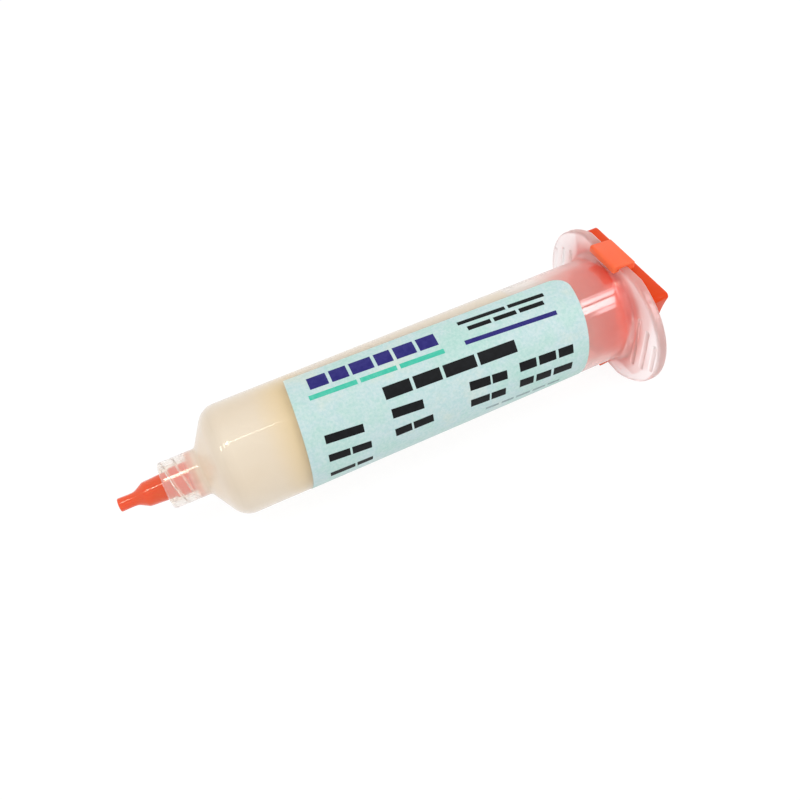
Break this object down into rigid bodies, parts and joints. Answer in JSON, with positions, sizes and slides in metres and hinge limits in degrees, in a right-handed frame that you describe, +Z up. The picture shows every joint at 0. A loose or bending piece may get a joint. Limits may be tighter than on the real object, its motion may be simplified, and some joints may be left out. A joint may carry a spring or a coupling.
{
  "type": "flux syringe",
  "caption": "Translucent dispensing syringe of paste flux: oval finger flange, clip-on orange end cap, luer lock with an orange tip cap, wiper piston and a wrapped label",
  "frame": {"origin": "On the barrel's axis, at the flange end of the barrel's straight outer wall, where the fillet to the flange begins", "axes": "+X runs along the barrel from the tip towards the flange and the end cap, Y runs through the flange's two ears, and +Z is up through the flange's upper flat and the upper clip"},
  "size_m": [0.126, 0.0442, 0.0322],
  "materials": {
    "barrel_plastic": "glossy translucent natural polypropylene",
    "orange_plastic": "satin orange moulded plastic",
    "piston_plastic": "matte white polyethylene",
    "flux_paste": "cream coloured smooth paste",
    "label_film": "satin mint printed film"
  },
  "bodies": {
    "barrel": {"barrel": "barrel_plastic", "flux": "flux_paste", "label": "label_film"},
    "piston": {"piston": "piston_plastic"},
    "tip_cap": {"tip_cap": "orange_plastic"},
    "end_cap": {"end_cap": "orange_plastic"}
  },
  "joints": [
    {"name": "piston_slide", "type": "slide", "parent": "barrel", "child": "piston", "axis": [-1, 0, 0], "range_m": [0, 0.0703], "deforming": ["flux"]},
    {"name": "tip_cap_pull", "type": "slide", "parent": "barrel", "child": "tip_cap", "axis": [-1, 0, 0], "range_m": [0, 0.012]},
    {"name": "end_cap_pull", "type": "slide", "parent": "barrel", "child": "end_cap", "axis": [1, 0, 0], "range_m": [0, 0.018], "deforming": ["end_cap"]}
  ]
}
